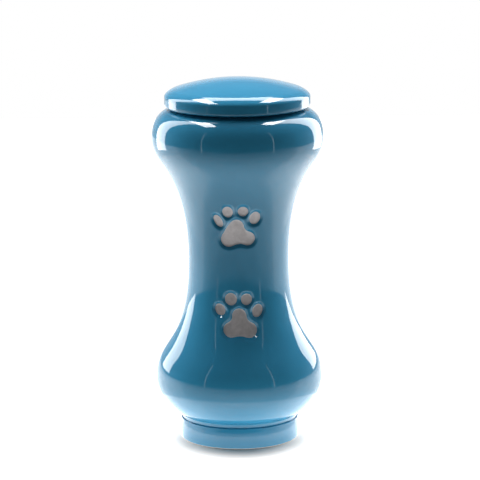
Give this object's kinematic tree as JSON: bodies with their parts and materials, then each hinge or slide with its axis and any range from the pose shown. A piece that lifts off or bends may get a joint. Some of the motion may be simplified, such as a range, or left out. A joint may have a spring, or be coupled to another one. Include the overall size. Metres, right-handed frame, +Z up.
{
  "type": "pet funeral urn",
  "caption": "Waisted ceramic pet urn in glossy teal-blue glaze, with sunk silver paw prints on the front and a loose domed disc lid.",
  "frame": {"origin": "centre of the standing ring, on the surface the urn stands on", "axes": "+Z up along the axis of the vessel, -Y out of the front, where the paw prints are"},
  "size_m": [0.127, 0.127, 0.27],
  "materials": {
    "blue_glaze": "glossy teal-blue glaze over a slip-cast clay body",
    "lid_glaze": "the same glossy teal-blue glaze, from the same firing",
    "silver_lustre": "satin silver lustre brushed into the sunk paw prints",
    "bare_clay": "bare fired clay, wiped clean of glaze on the standing ring and the seats"
  },
  "bodies": {
    "root": {"urn_body": "blue_glaze", "lid": "lid_glaze"}
  },
  "joints": []
}
